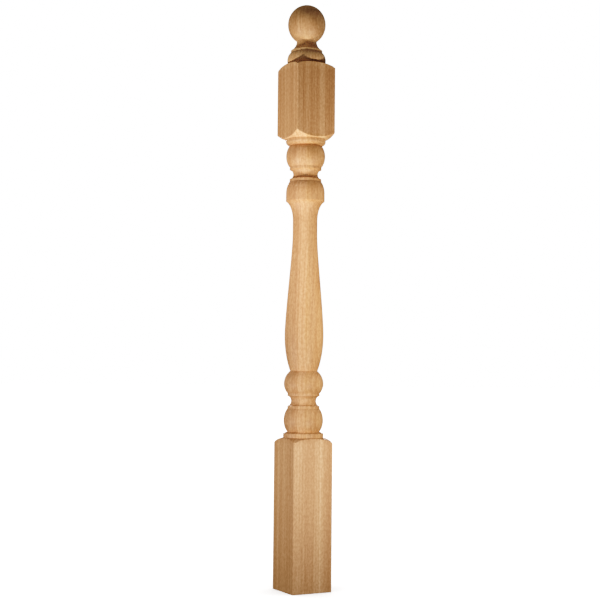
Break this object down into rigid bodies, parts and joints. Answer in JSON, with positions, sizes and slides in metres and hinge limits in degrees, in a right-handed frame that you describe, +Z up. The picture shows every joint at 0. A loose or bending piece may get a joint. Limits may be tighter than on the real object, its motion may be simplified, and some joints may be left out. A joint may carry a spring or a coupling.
{
  "type": "newel post",
  "caption": "Turned wooden newel post cut from one square blank: square lower and upper blocks, beads, coves and a long vase between them, and a ball on top.",
  "frame": {"origin": "centre of the square foot, on the surface that the post stands on", "axes": "+Z up along the turning axis; the flat faces of both blocks look along +X, -X, +Y and -Y"},
  "size_m": [0.0888, 0.0888, 1.2128],
  "materials": {
    "wood": "bare sanded hardwood, matt, with straight grain along the post"
  },
  "bodies": {
    "root": {"newel_post": "wood"}
  },
  "joints": []
}
